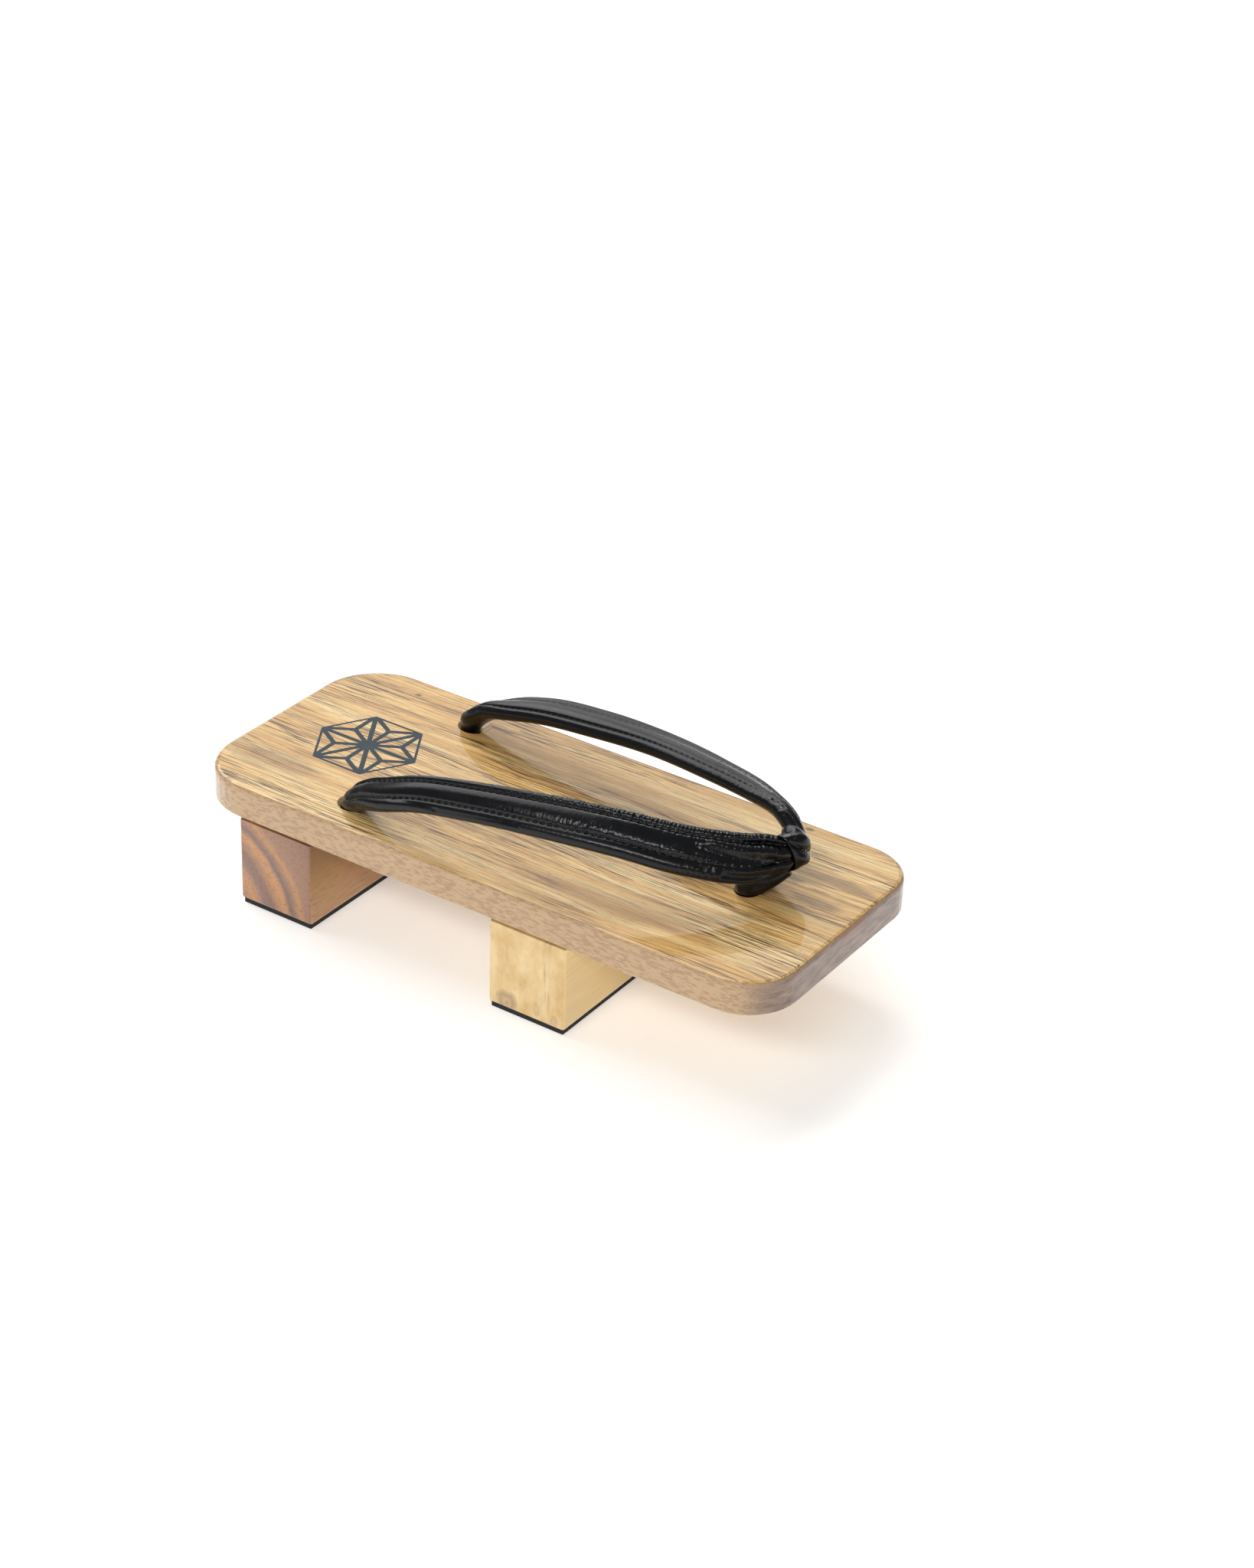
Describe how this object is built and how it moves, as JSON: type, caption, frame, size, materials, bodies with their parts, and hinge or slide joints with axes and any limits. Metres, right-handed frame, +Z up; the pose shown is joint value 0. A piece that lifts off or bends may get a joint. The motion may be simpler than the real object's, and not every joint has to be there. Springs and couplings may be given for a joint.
{
  "type": "wooden sandal",
  "caption": "Thong sandal: a lacquered wooden board on cross blocks with rubber soles, and a padded V-shaped strap with a front loop.",
  "frame": {"origin": "on the floor, under the middle of the board", "axes": "+X towards the toe, +Y towards one side of the board, +Z up"},
  "size_m": [0.285, 0.12, 0.0891],
  "materials": {
    "board_wood": "gloss",
    "heel_block_wood": "satin",
    "toe_block_wood": "satin",
    "sole_rubber": "matte",
    "strap_leather": "satin"
  },
  "bodies": {
    "root": {"board": "board_wood", "heel_block": "heel_block_wood", "toe_block": "toe_block_wood", "heel_rubber": "sole_rubber", "toe_rubber": "sole_rubber", "strap": "strap_leather", "front_loop": "strap_leather"}
  },
  "joints": []
}
